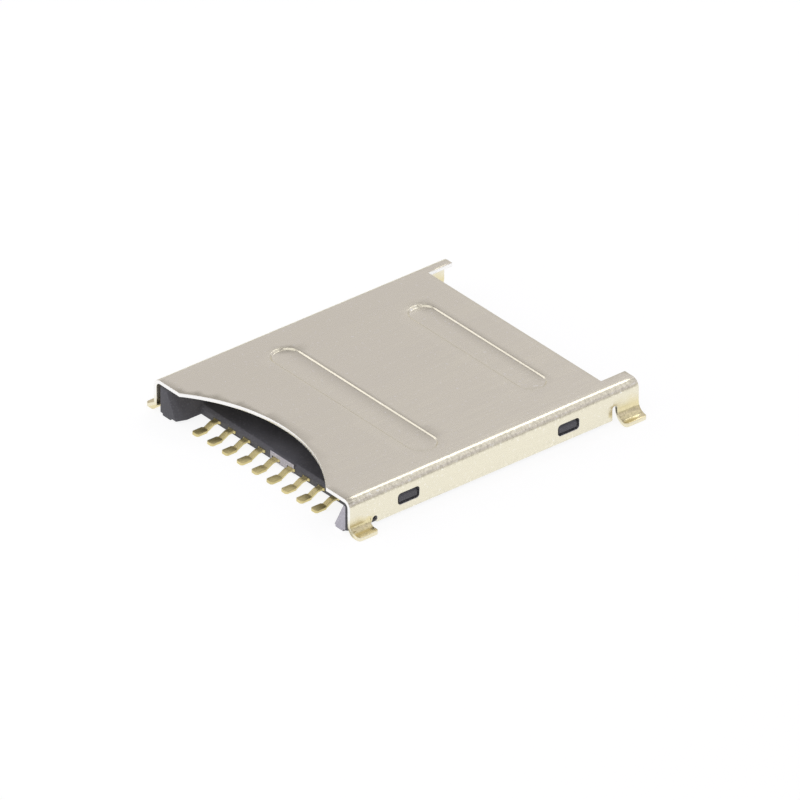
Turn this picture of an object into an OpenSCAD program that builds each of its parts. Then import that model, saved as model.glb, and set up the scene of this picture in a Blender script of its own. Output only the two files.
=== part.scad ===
// Surface-mount socket for a micro SD card, push-pull type.
// Frame: +X across the mouth, +Y the way the card goes in, +Z up from the board.
// The origin is the centre of the footprint, on the board.

/* [Card] */
// Width of the card
card_w = 11; // [10.9:0.05:11.1]
// Depth of the notch in the card's right side, beside its leading end
notch_w = 1.3; // [1.2:0.05:1.5]
// Offset of the card's path to the right of the cover's middle
card_shift = 0.18; // [0:0.01:0.3]

/* [Cover sheet] */
// Width over the cover's walls
cover_w = 14.53; // [14:0.01:15]
// Length of the cover, mouth to the rails' rear ends
cover_l = 17.4; // [17.3:0.05:18.5]
// Height of the cover's top above the board
cover_h = 1.85; // [1.8:0.01:2]
// Thickness of the sheet
sheet_t = 0.2; // [0.15:0.01:0.22]
// Outer radius of the folds along the top
bend_r = 0.45; // [0.35:0.01:0.5]
// Height of the walls' lower edge
wall_z = 0.2; // [0.1:0.01:0.3]
// Length by which the two rails run on past the top plate
rail_l = 1.45; // [1.4:0.01:1.6]
// Width of the rail that runs on past the plate, left side
left_rail_w = 1.03; // [0.6:0.01:1.4]
// Width of the rail that runs on past the plate, right side
right_rail_w = 1.03; // [0.6:0.01:1.4]
// Distance from the left wall's rear end to the end of its rail
left_wall_gap = 0.38; // [0.1:0.01:0.6]

/* [Mouth cut] */
// Width of the finger cut-out at the mouth
cut_w = 10.85; // [9:0.05:11.4]
// Depth of the finger cut-out
cut_d = 1.9; // [1.2:0.05:2.4]
// Offset of the finger cut-out to the right of the middle
cut_shift = 0.07; // [0:0.005:0.3]

/* [Beads] */
// Length of the front bead, across the cover
front_bead_l = 11.55; // [9:0.05:11.8]
// Width of the front bead
front_bead_w = 1.54; // [1.2:0.02:1.8]
// Distance from the mouth to the front bead's middle
front_bead_y = 5.93; // [5:0.01:7]
// Length of the rear bead, across the cover
rear_bead_l = 9.49; // [8:0.01:11]
// Width of the rear bead
rear_bead_w = 1.4; // [1.2:0.02:1.8]
// Distance from the rear bead's middle to the plate's rear edge
rear_bead_gap = 2.6; // [2:0.01:3.2]
// Depth to which the beads are pressed
bead_d = 0.09; // [0.06:0.01:0.16]
// Width of a bead's sloping side
bead_slope = 0.1; // [0.06:0.01:0.2]

/* [Windows] */
// Length of a latch window
window_l = 1.29; // [1:0.01:1.6]
// Height of a latch window
window_h = 0.6; // [0.5:0.01:0.7]
// Height of a latch window's sill above the board
window_z = 0.58; // [0.5:0.01:0.65]
// Corner radius of a latch window
window_r = 0.18; // [0.05:0.01:0.2]
// Distance from the mouth to the front window's middle
front_window_y = 3.52; // [3:0.01:4.5]
// Distance from the rear window's middle to the cover's rear end
rear_window_gap = 4.25; // [3.6:0.01:5]

/* [Feet] */
// Reach of a solder foot beyond the wall
foot_reach = 0.65; // [0.55:0.01:0.9]
// Distance from the mouth to the front foot
front_foot_y = 0.02; // [0:0.01:0.2]
// Length of the front foot
front_foot_l = 1.2; // [1:0.01:1.3]
// Inner radius of the front foot's curl
front_curl_r = 0.3; // [0.15:0.01:0.35]
// Length of the right rear foot
rear_foot_l = 1.3; // [1.1:0.01:1.35]
// Inner radius of the rear foot's curl
rear_curl_r = 0.5; // [0.3:0.01:0.52]
// Corner radius of a solder foot
foot_corner_r = 0.18; // [0.05:0.01:0.2]
// Gap in the wall behind the front foot
front_notch_l = 0.4; // [0.3:0.01:0.6]
// Radius of the relief hole above that gap
relief_r = 0.15; // [0.08:0.01:0.16]
// Distance from the front foot to the relief hole's middle
relief_y = 0.28; // [0.2:0.01:0.3]
// Height of the relief hole's middle above the board
relief_z = 0.41; // [0.4:0.01:0.5]
// Gap in the wall before the rear foot
rear_notch_l = 0.3; // [0.2:0.01:0.4]
// Height of that gap's top above the board
rear_notch_z = 0.95; // [0.85:0.01:1.1]

/* [Base] */
// Clearance between the cover and the base
fit_gap = 0.02; // [0.01:0.005:0.05]
// Clearance between the card's edge and a guide
guide_gap = 0.175; // [0.1:0.005:0.25]
// Height of the base's underside above the board
base_z = 0.1; // [0.05:0.01:0.12]
// Height of the floor that the card slides on
floor_z = 0.6; // [0.55:0.01:0.65]
// Distance from the mouth to the floor's front edge
floor_y = 1.42; // [1.3:0.01:1.6]
// Chamfer along the floor's front edge
floor_chamfer = 0.15; // [0.05:0.01:0.2]
// Distance from the mouth to the guides' front ends
guide_y = 0.06; // [0.02:0.01:0.2]
// Depth of the lead-in cut on each guide
lead_in_l = 1.2; // [0.8:0.05:2]
// Turn of the lead-in face from the card's path
lead_in_turn = 21; // [10:1:30]
// Tilt of the lead-in face from upright
lead_in_tilt = 25; // [10:1:35]
// Chamfer round each guide's front end, beside and under the cover
guide_chamfer = 0.2; // [0.1:0.01:0.22]
// Width of the middle block on the floor's front face
block_w = 1.75; // [1.2:0.05:2.4]
// Offset of that block from the middle of the card's path
block_x = 0.36; // [-0.5:0.01:1]
// Reach of that block past the floor's front edge
block_reach = 0.03; // [0.02:0.01:0.08]
// Distance from the card's stop to the plate's rear edge
stop_gap = 0.85; // [0.75:0.01:1]
// Thickness of the stop wall
stop_t = 0.65; // [0.5:0.01:0.8]
// Height of the rear deck's top above the board
deck_z = 0.5; // [0.4:0.01:0.55]
// Gap between the rear deck and the rails' rear ends
deck_gap = 0.2; // [0.1:0.01:0.4]
// Width of a stand-off pad under the base
pad_w = 0.6; // [0.4:0.05:0.7]
// Distance from the base's side to a stand-off pad
pad_inset = 0.35; // [0.2:0.01:0.4]
// Length of a stand-off pad under the base
pad_l = 1.2; // [0.8:0.05:1.6]
// Clearance between a latch bump and its window
bump_gap = 0.1; // [0.04:0.01:0.12]
// Distance from a latch bump's face to the wall's outside
bump_inset = 0.06; // [0.03:0.01:0.1]
// Width of the ramp along a latch bump's top
bump_ramp = 0.12; // [0.08:0.01:0.15]

/* [Contacts] */
// Number of signal contacts
contact_n = 8; // [8:1:8]
// Pitch of the row
pitch = 1.1; // [1:0.01:1.1]
// Thickness of the contact strip
strip_t = 0.15; // [0.1:0.01:0.15]
// Distance from the mouth to the tails' tips
tail_y = 0.05; // [0.02:0.01:0.2]
// Length of a tail's soldered sole
sole_l = 0.7; // [0.6:0.01:0.8]
// Width of a tail's sole
sole_w = 0.45; // [0.35:0.01:0.5]
// Cut at the four corners of a sole
sole_cut = 0.09; // [0.05:0.01:0.1]
// Width of a tail's neck
neck_w = 0.3; // [0.25:0.01:0.35]
// Length of a tail's rise from its sole to the floor
rise_l = 0.38; // [0.3:0.01:0.45]
// Width of the lead inside the base
lead_w = 0.5; // [0.4:0.01:0.55]
// Height of the lead's underside above the board
lead_z = 0.2; // [0.18:0.01:0.25]
// Clearance beside a lead in its groove
groove_gap = 0.03; // [0.02:0.01:0.05]
// Length of the bars that close the grooves below
bar_l = 0.8; // [0.5:0.05:1]
// Clearance between a spring and the sides of its slot
slot_gap = 0.15; // [0.1:0.01:0.17]
// Clearance between a spring's tip and the end of its slot
slot_end_gap = 0.5; // [0.2:0.05:0.8]
// Length of a signal spring, root to contact point
beam_l = 5; // [4:0.05:5.5]
// Distance from the contact points to the card's stop
crest_gap = 2.5; // [2.2:0.05:3]
// Height of the contact points above the board
crest_z = 0.98; // [0.8:0.01:1.1]
// Radius of the bend at a contact point
crest_r = 0.6; // [0.4:0.05:0.8]
// Distance from a contact point to the spring's tip
tip_l = 0.75; // [0.5:0.05:0.9]
// Drop from the contact point's vertex to the spring's tip
tip_drop = 0.42; // [0.3:0.01:0.5]
// Width of a spring at its root
spring_w = 0.42; // [0.35:0.01:0.45]
// Width of a spring at its tip
tip_w = 0.3; // [0.25:0.01:0.35]
// Bend radius along the strip's middle
form_r = 0.2; // [0.15:0.01:0.25]

/* [Detect blade] */
// Length of the blade, root to top
blade_l = 2.6; // [2.2:0.05:3]
// Distance from the blade's top to the card's stop
blade_stop_gap = 5.6; // [5.2:0.05:6]
// Gap between the cover and the vertex of the blade's top bend
blade_gap = 0.05; // [0.03:0.01:0.1]
// Distance from the blade's middle to the right guide
blade_inset = 0.825; // [0.75:0.005:0.95]
// Length over which the lead steps sideways
step_l = 0.7; // [0.5:0.05:1]
// Distance from the end of that step to the blade's root
step_gap = 0.8; // [0.7:0.05:1.2]
// Bend radius at the blade's top
blade_r = 0.35; // [0.25:0.01:0.45]
// Distance from the blade's top to its tip
blade_tip_l = 0.65; // [0.5:0.05:0.8]
// Drop from the blade's vertex to its tip
blade_tip_drop = 0.5; // [0.3:0.01:0.6]

/* [Hidden] */
$fn = 48;
// Overrun of every cut past the face that it leaves
over = 0.5;
// Steps in each bend of a formed strip
bend_steps = 6;
// Lap of a bead, a foot's root or the middle block within the piece that it is one with
lap = 0.1;

// Y of the mouth; every other place along the socket is a distance from it
mouth_y = -cover_l / 2;
plate_l = cover_l - rail_l;
left_wall_l = cover_l - left_wall_gap;
rear_bead_y = plate_l - rear_bead_gap;
rear_window_y = cover_l - rear_window_gap;
rear_foot_y = cover_l - rear_foot_l;
stop_y = plate_l - stop_gap;
crest_y = stop_y - crest_gap;
root_y = crest_y - beam_l;
blade_top_y = stop_y - blade_stop_gap;
blade_root_y = blade_top_y - blade_l;
step_y = blade_root_y - step_gap - step_l;

// Levels and half widths
under_z = cover_h - sheet_t;
inner_x = cover_w / 2 - sheet_t;
base_x = inner_x - fit_gap;
base_top = under_z - fit_gap;
guide_x = card_w / 2 + guide_gap;
round_r = bend_r - sheet_t + fit_gap;
guide_l = stop_y + stop_t - guide_y;

// Radius of the finger cut-out, from its width and depth
cut_r = (pow(cut_w / 2, 2) + pow(cut_d, 2)) / (2 * cut_d);

// Row of contacts, centred on the card's leading end
row_x = card_shift - notch_w / 2 - pitch * (contact_n - 1) / 2;
blade_x = row_x + pitch * contact_n;
blade_step = card_shift + guide_x - blade_inset - blade_x;
strip_mid_z = lead_z + strip_t / 2;
blade_vertex_z = under_z - blade_gap;
lead_top = lead_z + strip_t;

// Direction of the line from p to q, as an angle
function heading(p, q) = atan2(q.y - p.y, q.x - p.x);

// Turn from one direction to another, within half a circle
function turn(from, to) = let (d = to - from) d > 180 ? d - 360 : d < -180 ? d + 360 : d;

// Points of one rounded corner at q, each with its heading
function corner(p, q, s, r) =
    let (
        h = heading(p, q),
        a = turn(h, heading(q, s)),
        side = a < 0 ? -1 : 1,
        back = r * tan(abs(a) / 2),
        start = q - back * [cos(h), sin(h)],
        mid = start + side * r * [-sin(h), cos(h)]
    )
    [for (i = [0 : bend_steps])
        let (g = h + a * i / bend_steps)
        [mid + side * r * [sin(g), -cos(g)], g]];

// Middle line of a strip that is bent at each inner point of path
function middle_line(path, radii) = [
    [path[0], heading(path[0], path[1])],
    for (i = [1 : len(path) - 2]) each corner(path[i - 1], path[i], path[i + 1], radii[i - 1]),
    [path[len(path) - 1], heading(path[len(path) - 2], path[len(path) - 1])]
];

// Outline of the strip, up one face and back along the other
function strip_outline(path, radii, t) =
    let (line = middle_line(path, radii), n = len(line))
    [
        for (i = [0 : n - 1]) line[i][0] + t / 2 * [-sin(line[i][1]), cos(line[i][1])],
        for (i = [n - 1 : -1 : 0]) line[i][0] - t / 2 * [-sin(line[i][1]), cos(line[i][1])]
    ];

// X of contact number i, counted from 0 at the left
function contact_x(i) = row_x + pitch * i;

// Turns a YZ outline into a bar of the given width across X
module across(width) {
    rotate([90, 0, 90]) translate([0, 0, -width / 2]) linear_extrude(width) children();
}

// Turns an XZ outline into a bar from y, of the given length
module along(y, length) {
    translate([0, y + length, 0]) rotate([90, 0, 0]) linear_extrude(length) children();
}

// Rectangle with rounded corners, centred
module rounded_rect(w, h, r) {
    square([w - 2 * r, h], center = true);
    square([w, h - 2 * r], center = true);
    for (x = [-1, 1], y = [-1, 1])
        translate([x * (w / 2 - r), y * (h / 2 - r)]) circle(r = r);
}

// Block between two corners
module block(low, high) {
    translate(low) cube(high - low);
}

// Arch outline in XZ: both walls down to the board and a top with rounded corners
module arch(half_w, top, r) {
    translate([-half_w, 0]) square([2 * half_w, top - r]);
    translate([-half_w + r, 0]) square([2 * (half_w - r), top]);
    for (x = [-1, 1]) translate([x * (half_w - r), top - r]) circle(r = r);
}

// Racetrack bead with sloping sides below z and a straight lap above it
module bead(y, length, width, z, grow) {
    r = width / 2 + grow;
    r_low = r - bead_slope;
    half = length / 2 - width / 2;
    for (x = [-half, half])
        translate([card_shift + x, mouth_y + y, z]) rotate_extrude()
            polygon([[0, -bead_d], [r_low, -bead_d], [r, 0], [r, lap], [0, lap]]);
    translate([card_shift, mouth_y + y, z]) across(2 * half)
        polygon([[-r, lap], [-r, 0], [-r_low, -bead_d], [r_low, -bead_d], [r, 0], [r, lap]]);
}

// Both beads, pressed down from the level z
module beads(z, grow = 0) {
    bead(front_bead_y, front_bead_l, front_bead_w, z, grow);
    bead(rear_bead_y, rear_bead_l, rear_bead_w, z, grow);
}

// Solder foot on the right side: a quarter curl and its sole, with rounded corners
module foot(y, length, curl_r) {
    wall_x = cover_w / 2;
    tip_x = wall_x + foot_reach;
    intersection() {
        along(mouth_y + y, length) {
            intersection() {
                translate([wall_x + curl_r, sheet_t + curl_r]) difference() {
                    circle(r = curl_r + sheet_t);
                    circle(r = curl_r);
                }
                translate([wall_x - sheet_t, 0]) square([curl_r + sheet_t, curl_r + sheet_t]);
            }
            translate([wall_x + curl_r, 0]) square([foot_reach - curl_r, sheet_t]);
            translate([inner_x, sheet_t + curl_r]) square([sheet_t, lap]);
        }
        linear_extrude(cover_h) {
            translate([inner_x, mouth_y + y])
                square([tip_x - inner_x - foot_corner_r, length]);
            translate([inner_x, mouth_y + y + foot_corner_r])
                square([tip_x - inner_x, length - 2 * foot_corner_r]);
            for (end = [foot_corner_r, length - foot_corner_r])
                translate([tip_x - foot_corner_r, mouth_y + y + end]) circle(r = foot_corner_r);
        }
    }
}

// Room below a foot's fold line, where the wall gives way to the curl
module foot_room(y, length, curl_r) {
    block([inner_x - over, mouth_y + y - over, -over],
          [cover_w / 2 + over, mouth_y + y + length, sheet_t + curl_r]);
}

// Wall outline cuts on the right side, drawn in YZ and run through the wall
module wall_cuts(wall_l) {
    foot_end = front_foot_y + front_foot_l;
    notch_end = foot_end + front_notch_l;
    hole_y = foot_end + relief_y;
    rear_y = rear_foot_y - rear_notch_l;
    slot_r = rear_notch_l / 2;
    translate([cover_w / 2, mouth_y, 0]) across(2 * bend_r) {
        // Gap and relief hole behind the front foot
        polygon([[foot_end, -over], [foot_end, relief_z - relief_r],
                 [hole_y - relief_r, relief_z], [hole_y, relief_z - relief_r],
                 [notch_end, wall_z], [notch_end, -over]]);
        translate([hole_y, relief_z]) circle(r = relief_r);
        // Lower edge between the feet
        translate([notch_end - relief_r, -over])
            square([rear_y - notch_end + 2 * relief_r, over + wall_z]);
        // Round-topped gap before the rear foot
        translate([rear_y, -over]) square([rear_notch_l, over + rear_notch_z - slot_r]);
        translate([rear_y + slot_r, rear_notch_z - slot_r]) circle(r = slot_r);
        // Latch windows
        for (y = [front_window_y, rear_window_y])
            translate([y, window_z + window_h / 2]) rounded_rect(window_l, window_h, window_r);
    }
    foot_room(front_foot_y, front_foot_l, front_curl_r);
    foot_room(rear_foot_y, wall_l - rear_foot_y + over, rear_curl_r);
    // Rear end of the wall, under the rail that may run on past it
    if (wall_l < cover_l)
        block([inner_x - over, mouth_y + wall_l, -over],
              [cover_w / 2 + over, mouth_y + cover_l + over, under_z]);
}

// Stamped cover: one sheet, folded down at both sides, with its four solder feet
module cover() {
    color("Gainsboro") {
        difference() {
            union() {
                along(mouth_y, cover_l) difference() {
                    arch(cover_w / 2, cover_h, bend_r);
                    arch(inner_x, under_z, bend_r - sheet_t);
                }
                beads(under_z);
            }
            beads(cover_h);
            // Finger cut-out at the mouth
            translate([cut_shift, mouth_y + cut_d - cut_r, under_z - over])
                cylinder(r = cut_r, h = sheet_t + 2 * over, $fn = 96);
            // Rear edge of the plate, between the two rails
            block([-cover_w / 2 + left_rail_w, mouth_y + plate_l, under_z - over],
                  [cover_w / 2 - right_rail_w, mouth_y + cover_l + over, cover_h + over]);
            wall_cuts(cover_l);
            mirror([1, 0, 0]) wall_cuts(left_wall_l);
        }
        foot(front_foot_y, front_foot_l, front_curl_r);
        foot(rear_foot_y, rear_foot_l, rear_curl_r);
        mirror([1, 0, 0]) {
            foot(front_foot_y, front_foot_l, front_curl_r);
            foot(rear_foot_y, left_wall_l - rear_foot_y, rear_curl_r);
        }
    }
}

// Card guide on the right side, from its inner face, with its lead-in face
module guide(inner) {
    difference() {
        along(mouth_y + guide_y, guide_l) intersection() {
            arch(base_x, base_top, round_r);
            translate([inner, base_z]) square([base_x, cover_h]);
        }
        translate([inner, mouth_y + lead_in_l, floor_z])
            rotate([0, 0, 180 + lead_in_turn]) rotate([0, -lead_in_tilt, 0])
            translate([0, -cover_w / 2, -cover_w / 2]) cube(cover_w);
        // Chamfer of the front end, along its side, its rounded edge and its top
        translate([base_x - round_r, mouth_y + guide_y, base_top - round_r])
            for (a = [0 : 45 : 90]) rotate([0, -a, 0]) translate([0, 0, -cover_w])
                linear_extrude(2 * cover_w)
                polygon([[round_r - guide_chamfer - over, -over], [round_r + over, -over],
                         [round_r + over, guide_chamfer + over]]);
    }
}

// Latch bump on the right guide: flat below, ramped above, inside a cover window
module latch_bump(y, inner) {
    out_x = cover_w / 2 - bump_inset;
    low = window_z + bump_gap;
    high = window_z + window_h - bump_gap;
    length = window_l - 2 * bump_gap;
    along(mouth_y + y - length / 2, length)
        polygon([[inner + sheet_t, low], [out_x, low], [out_x, high - bump_ramp],
                 [out_x - bump_ramp, high], [inner + sheet_t, high]]);
}

// Floor with a chamfered front edge, the middle block and the narrower rear deck
module floor_plate() {
    translate([0, mouth_y, 0]) across(2 * base_x)
        polygon([[floor_y, base_z], [floor_y, floor_z - floor_chamfer],
                 [floor_y + floor_chamfer, floor_z], [stop_y + stop_t, floor_z],
                 [stop_y + stop_t, base_z]]);
    translate([card_shift, mouth_y, 0]) {
        block([-guide_x, stop_y, base_z], [guide_x, cover_l - deck_gap, deck_z]);
        block([block_x - block_w / 2, floor_y - block_reach, base_z],
              [block_x + block_w / 2, floor_y + floor_chamfer + lap, floor_z]);
    }
}

// Stop wall across the end of the card's path
module stop_wall() {
    translate([card_shift, mouth_y, 0])
        block([-guide_x - sheet_t, stop_y, base_z], [guide_x + sheet_t, stop_y + stop_t, base_top]);
}

// Stand-off pads that rest on the board
module pads() {
    out_x = base_x - pad_inset;
    for (side = [0, 1], y = [guide_y, stop_y + stop_t - pad_l]) mirror([side, 0, 0])
        block([out_x - pad_w, mouth_y + y, 0], [out_x, mouth_y + y + pad_l, base_z]);
}

// Right edge of a tail, from its tip along the sole and the neck to the floor
function tail_edge() = [
    [sole_w / 2 - sole_cut, tail_y],
    [sole_w / 2, tail_y + sole_cut],
    [sole_w / 2, tail_y + sole_l - sole_cut],
    [neck_w / 2, tail_y + sole_l],
    [neck_w / 2, floor_y - block_reach]
];

// The same points on the left, in the opposite order
function other_edge(points) = [for (i = [len(points) - 1 : -1 : 0]) [-points[i].x, points[i].y]];

// Plan of one strip: sole, neck and lead, then the spring from its root to its tip
module strip_plan(root, end, root_w, end_w) {
    edge = [each tail_edge(), [lead_w / 2, floor_y], [lead_w / 2, root],
            [root_w / 2, root + lead_w / 2], [end_w / 2, end]];
    polygon([each edge, each other_edge(edge)]);
}

// Side view of a contact: sole, rise, level lead, sprung beam and its turned-down tip
function contact_path() = [
    [tail_y, strip_t / 2],
    [tail_y + sole_l, strip_t / 2],
    [tail_y + sole_l + rise_l, strip_mid_z],
    [root_y, strip_mid_z],
    [crest_y, crest_z],
    [crest_y + tip_l, crest_z - tip_drop]
];

// Signal contact number i, counted from 0 at the left
module contact(i) {
    end = crest_y + tip_l + over;
    color("Goldenrod") translate([contact_x(i), mouth_y, 0]) intersection() {
        across(2 * lead_w)
            polygon(strip_outline(contact_path(), [form_r, form_r, form_r, crest_r], strip_t));
        linear_extrude(cover_h) strip_plan(root_y - form_r, end, spring_w, tip_w);
    }
}

// Groove and slot of one signal contact, cut from the base
module contact_room(i) {
    groove_w = lead_w / 2 + groove_gap;
    slot_w = spring_w / 2 + slot_gap;
    root = root_y - form_r;
    translate([contact_x(i), mouth_y, 0]) {
        block([-groove_w, floor_y - over, lead_z], [groove_w, root, lead_top]);
        block([-groove_w, floor_y + bar_l, -over], [groove_w, root - bar_l, lead_top]);
        block([-slot_w, root, -over],
              [slot_w, crest_y + tip_l + slot_end_gap, cover_h]);
    }
}

// Side view of the detect blade, which rises almost to the cover
function blade_path() = [
    [tail_y, strip_t / 2],
    [tail_y + sole_l, strip_t / 2],
    [tail_y + sole_l + rise_l, strip_mid_z],
    [blade_root_y, strip_mid_z],
    [blade_top_y, blade_vertex_z],
    [blade_top_y + blade_tip_l, blade_vertex_z - blade_tip_drop]
];

// Plan of the detect strip, which steps sideways to lie beside the card's leading end
module blade_plan(grow = 0) {
    w = lead_w / 2 + grow;
    s = spring_w / 2 + grow;
    t = tip_w / 2 + grow;
    end = blade_top_y + blade_tip_l + over;
    polygon([each tail_edge(), [w, floor_y], [w, step_y], [blade_step + w, step_y + step_l],
             [blade_step + w, blade_root_y - form_r - s],
             [blade_step + s, blade_root_y - form_r], [blade_step + t, end],
             [blade_step - t, end], [blade_step - s, blade_root_y - form_r],
             [blade_step - w, blade_root_y - form_r - s],
             [blade_step - w, step_y + step_l], [-w, step_y],
             [-w, floor_y], each other_edge(tail_edge())]);
}

// Card-detect blade, the ninth strip of the row
module detect_contact() {
    color("Goldenrod") translate([blade_x, mouth_y, 0]) intersection() {
        across(3 * lead_w)
            polygon(strip_outline(blade_path(), [form_r, form_r, form_r, blade_r], strip_t));
        linear_extrude(cover_h) blade_plan();
    }
}

// Groove and slot of the detect blade, cut from the base
module blade_room() {
    slot_w = spring_w / 2 + slot_gap;
    root = blade_root_y - form_r;
    translate([blade_x, mouth_y, 0]) {
        intersection() {
            linear_extrude(lead_top) blade_plan(groove_gap);
            union() {
                block([-pitch, floor_y - over, lead_z], [pitch, root + groove_gap, lead_top]);
                block([-pitch, floor_y + bar_l, -over], [pitch, root - bar_l, lead_top]);
            }
        }
        block([blade_step - slot_w, root, -over],
              [blade_step + slot_w, blade_top_y + blade_tip_l + slot_end_gap, cover_h]);
    }
}

// Moulded base: floor, card guides, stop wall, latch bumps and stand-off pads
module base() {
    color("DimGray") difference() {
        union() {
            floor_plate();
            stop_wall();
            pads();
            for (side = [0, 1]) mirror([side, 0, 0]) {
                inner = guide_x + (1 - 2 * side) * card_shift;
                guide(inner);
                latch_bump(front_window_y, inner);
                latch_bump(rear_window_y, inner);
            }
        }
        for (i = [0 : contact_n - 1]) contact_room(i);
        blade_room();
        beads(under_z - fit_gap, fit_gap);
    }
}

cover();
base();
contact(0);  // contact_1
contact(1);  // contact_2
contact(2);  // contact_3
contact(3);  // contact_4
contact(4);  // contact_5
contact(5);  // contact_6
contact(6);  // contact_7
contact(7);  // contact_8
detect_contact();
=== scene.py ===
"""Surface-mount socket for a micro SD card, with its finishes and its studio.

The folded cover, the moulded base, the row of sprung contacts and the detect blade each
have a class. The frame is +X across the mouth, +Y the way the card goes in and +Z up from
the board. Sizes are in millimetres, and become metres where a mesh is made.
"""
import logging
import math
from collections.abc import Iterable, Sequence
from dataclasses import dataclass, field
from enum import Enum

import bmesh
import bpy
import numpy as np
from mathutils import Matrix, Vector
from mathutils.geometry import delaunay_2d_cdt
from mathutils.kdtree import KDTree


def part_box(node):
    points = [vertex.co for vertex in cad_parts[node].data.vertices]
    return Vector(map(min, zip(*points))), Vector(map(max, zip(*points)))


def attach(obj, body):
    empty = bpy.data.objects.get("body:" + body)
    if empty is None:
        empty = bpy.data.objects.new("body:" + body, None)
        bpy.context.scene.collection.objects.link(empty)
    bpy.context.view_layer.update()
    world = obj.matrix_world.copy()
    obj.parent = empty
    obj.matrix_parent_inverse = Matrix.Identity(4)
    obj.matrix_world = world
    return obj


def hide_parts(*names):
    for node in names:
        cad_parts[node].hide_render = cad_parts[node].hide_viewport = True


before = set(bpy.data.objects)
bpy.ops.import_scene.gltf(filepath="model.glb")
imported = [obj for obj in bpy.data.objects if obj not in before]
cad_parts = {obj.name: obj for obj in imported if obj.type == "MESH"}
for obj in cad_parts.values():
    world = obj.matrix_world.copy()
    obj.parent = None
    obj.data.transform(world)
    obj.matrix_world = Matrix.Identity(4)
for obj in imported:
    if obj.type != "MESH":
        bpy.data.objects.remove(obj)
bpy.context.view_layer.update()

log = logging.getLogger("card_socket")

MM = 0.001
QUARTER = math.pi / 2
BODY = "root"
WHITE = (1.0, 1.0, 1.0, 1.0)

Colour = tuple[float, float, float]
Point = tuple[float, float]
Value = float | int | Sequence[float] | bpy.types.ID | bpy.types.NodeSocket | None


class Slot(Enum):
    """Names of material slots for the finishes; the pieces in this script do not use them."""

    COVER = "cover_sheet"
    BASE = "base_moulding"
    STRIP = "contact_strip"


class Grain(Enum):
    """Direction in which a metal finish is drawn out, as the stretch of its pattern."""

    ALONG = (1.0, 0.06, 1.0)
    UPRIGHT = (1.0, 1.0, 0.1)


def rgba(colour: Colour) -> tuple[float, float, float, float]:
    """Adds full opacity to a colour."""
    return (*colour, 1.0)


class Desk:
    """Lays nodes in one tree and joins their sockets."""

    def __init__(self, tree: bpy.types.NodeTree) -> None:
        """Keeps the tree that the nodes go into."""
        self.tree = tree

    def feed(self, socket: bpy.types.NodeSocket, value: Value) -> None:
        """Gives a socket its value.

        Args:
            socket: The input socket.
            value: Another node's output to join to it, a plain value, or None to leave it.
        """
        if isinstance(value, bpy.types.NodeSocket):
            self.tree.links.new(value, socket)
        elif value is not None:
            socket.default_value = value

    def node(self, kind: str, values: dict[str | int, Value] | None = None,
             **settings: object) -> bpy.types.Node:
        """Adds one node.

        Args:
            kind: Type name of the node.
            values: Value of each input, by its name or number.
            settings: Properties of the node.

        Returns:
            The new node.
        """
        made = self.tree.nodes.new(kind)
        for name, setting in settings.items():
            setattr(made, name, setting)
        for key, value in (values or {}).items():
            self.feed(made.inputs[key], value)
        return made

    def math(self, operation: str, *values: Value) -> bpy.types.NodeSocket:
        """Adds a math node.

        Args:
            operation: What it works out.
            values: Its inputs in turn.

        Returns:
            Its result.
        """
        made = self.node("ShaderNodeMath", operation=operation)
        for socket, value in zip(made.inputs, values):
            self.feed(socket, value)
        return made.outputs[0]

    def mix(self, factor: Value, first: Value, second: Value,
            blend: str = "MIX") -> bpy.types.NodeSocket:
        """Mixes two colours.

        Args:
            factor: Share of the second colour.
            first: Colour at a factor of zero.
            second: Colour at a factor of one.
            blend: Way in which the second is laid over the first.

        Returns:
            The mixed colour.
        """
        made = self.node("ShaderNodeMix", data_type="RGBA", blend_type=blend)
        self.feed(made.inputs["Factor"], factor)
        for socket, value in ((made.inputs[6], first), (made.inputs[7], second)):
            self.feed(socket, value)
        return made.outputs[2]

    def span(self, value: Value, source: Point, target: Point,
             smooth: bool = False) -> bpy.types.NodeSocket:
        """Maps a value from one range to another and holds it there.

        Args:
            value: The value to map.
            source: Its own range.
            target: The range that it is given.
            smooth: True for a soft start and end.

        Returns:
            The mapped value.
        """
        made = self.node("ShaderNodeMapRange", interpolation_type="SMOOTHSTEP" if smooth else "LINEAR")
        for socket, part in zip(made.inputs, (value, *source, *target)):
            self.feed(socket, part)
        return made.outputs[0]

    def noise(self, place: Value, scale: Value, detail: float,
              roughness: float = 0.5) -> bpy.types.NodeSocket:
        """Adds a noise pattern.

        Args:
            place: Point at which it is read.
            scale: Waves in a metre.
            detail: Number of finer layers.
            roughness: Share that each finer layer keeps.

        Returns:
            The pattern, about a half on average.
        """
        return self.node("ShaderNodeTexNoise", {
            "Vector": place, "Scale": scale, "Detail": detail, "Roughness": roughness}).outputs[0]

    def scale(self, vector: Value, factor: Value) -> bpy.types.NodeSocket:
        """Scales a vector or a colour and returns it."""
        return self.node("ShaderNodeVectorMath", {0: vector, "Scale": factor}, operation="SCALE").outputs[0]


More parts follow.
